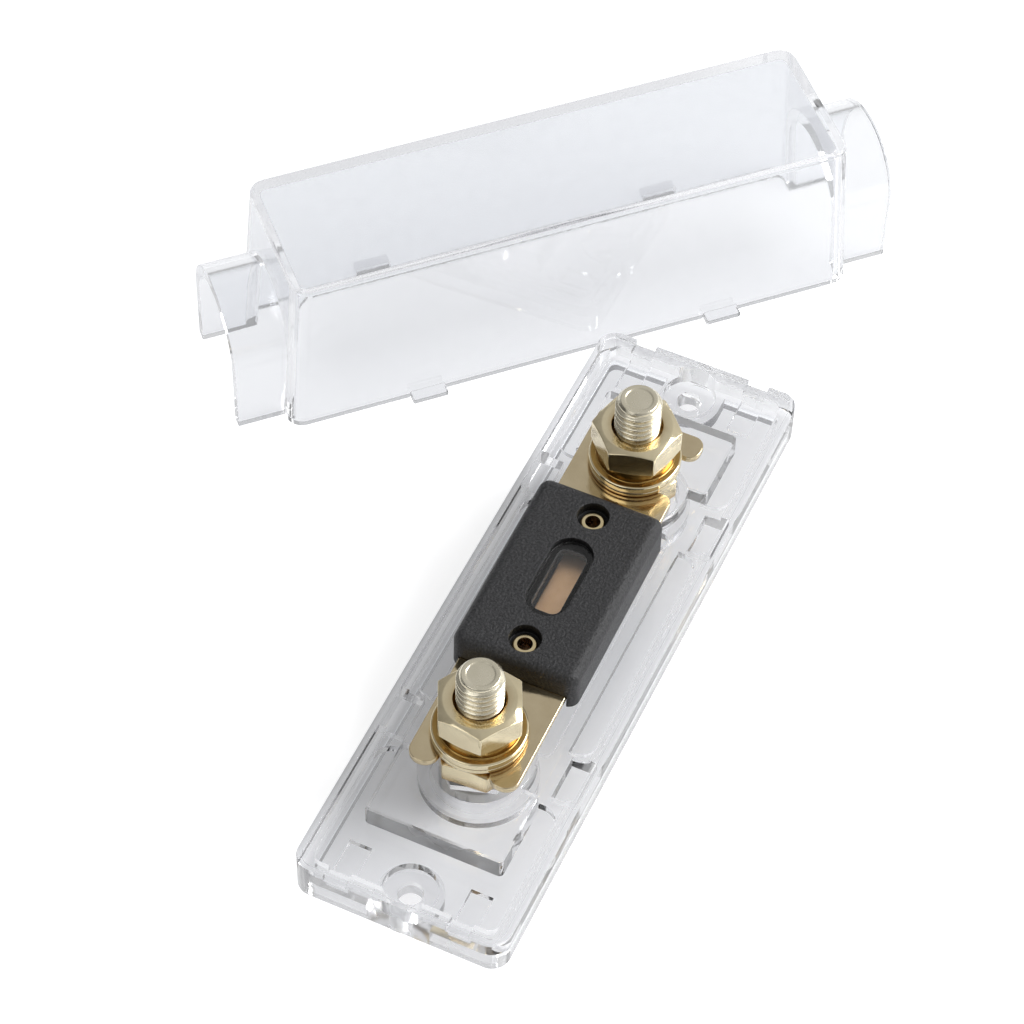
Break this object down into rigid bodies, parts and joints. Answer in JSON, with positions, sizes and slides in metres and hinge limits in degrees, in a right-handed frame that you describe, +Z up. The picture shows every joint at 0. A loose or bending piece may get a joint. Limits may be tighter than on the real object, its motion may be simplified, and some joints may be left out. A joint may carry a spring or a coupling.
{
  "type": "anl fuse holder",
  "caption": "Clear moulded tray with gold plated threaded studs and flange nuts that clamp a bolt-down fuse for high direct currents, with its lift-off clear cover beside it.",
  "frame": {"origin": "middle of the tray's underside, on the surface it stands on", "axes": "+X along the tray from the left stud to the right stud, +Y across it towards the side where the cover stands, +Z up along the studs"},
  "size_m": [0.1852, 0.1053, 0.033],
  "materials": {
    "clear_plastic": "clear gloss",
    "gold_plate": "gold plated, satin",
    "black_plastic": "fine grain"
  },
  "bodies": {
    "holder": {"base_tray": "clear_plastic", "left_stud": "gold_plate", "right_stud": "gold_plate", "left_seat_nut": "gold_plate", "right_seat_nut": "gold_plate", "fuse_element": "gold_plate", "fuse_upper_shell": "black_plastic", "fuse_lower_shell": "black_plastic", "fuse_window": "clear_plastic", "left_rivet": "gold_plate", "right_rivet": "gold_plate"},
    "cover": {"cover": "clear_plastic"},
    "left_washer": {"left_washer": "gold_plate"},
    "left_nut": {"left_nut": "gold_plate"},
    "right_washer": {"right_washer": "gold_plate"},
    "right_nut": {"right_nut": "gold_plate"}
  },
  "joints": [
    {"name": "cover_lift", "type": "slide", "parent": "holder", "child": "cover", "axis": [0, 0, 1], "range_m": [0, 0.06]},
    {"name": "left_washer_lift", "type": "slide", "parent": "holder", "child": "left_washer", "axis": [0, 0, 1], "range_m": [0, 0.00876]},
    {"name": "left_nut_turn", "type": "hinge", "parent": "left_washer", "child": "left_nut", "pos_m": [-0.03095, 0, 0.0204], "axis": [0, 0, 1], "range_deg": [0, 2520]},
    {"name": "right_washer_lift", "type": "slide", "parent": "holder", "child": "right_washer", "axis": [0, 0, 1], "range_m": [0, 0.00876]},
    {"name": "right_nut_turn", "type": "hinge", "parent": "right_washer", "child": "right_nut", "pos_m": [0.03095, 0, 0.0204], "axis": [0, 0, 1], "range_deg": [0, 2520]}
  ],
  "couplings": [
    {"joint": "left_washer_lift", "follows": "left_nut_turn", "m_per_rad": 0.00019894},
    {"joint": "right_washer_lift", "follows": "right_nut_turn", "m_per_rad": 0.00019894}
  ]
}
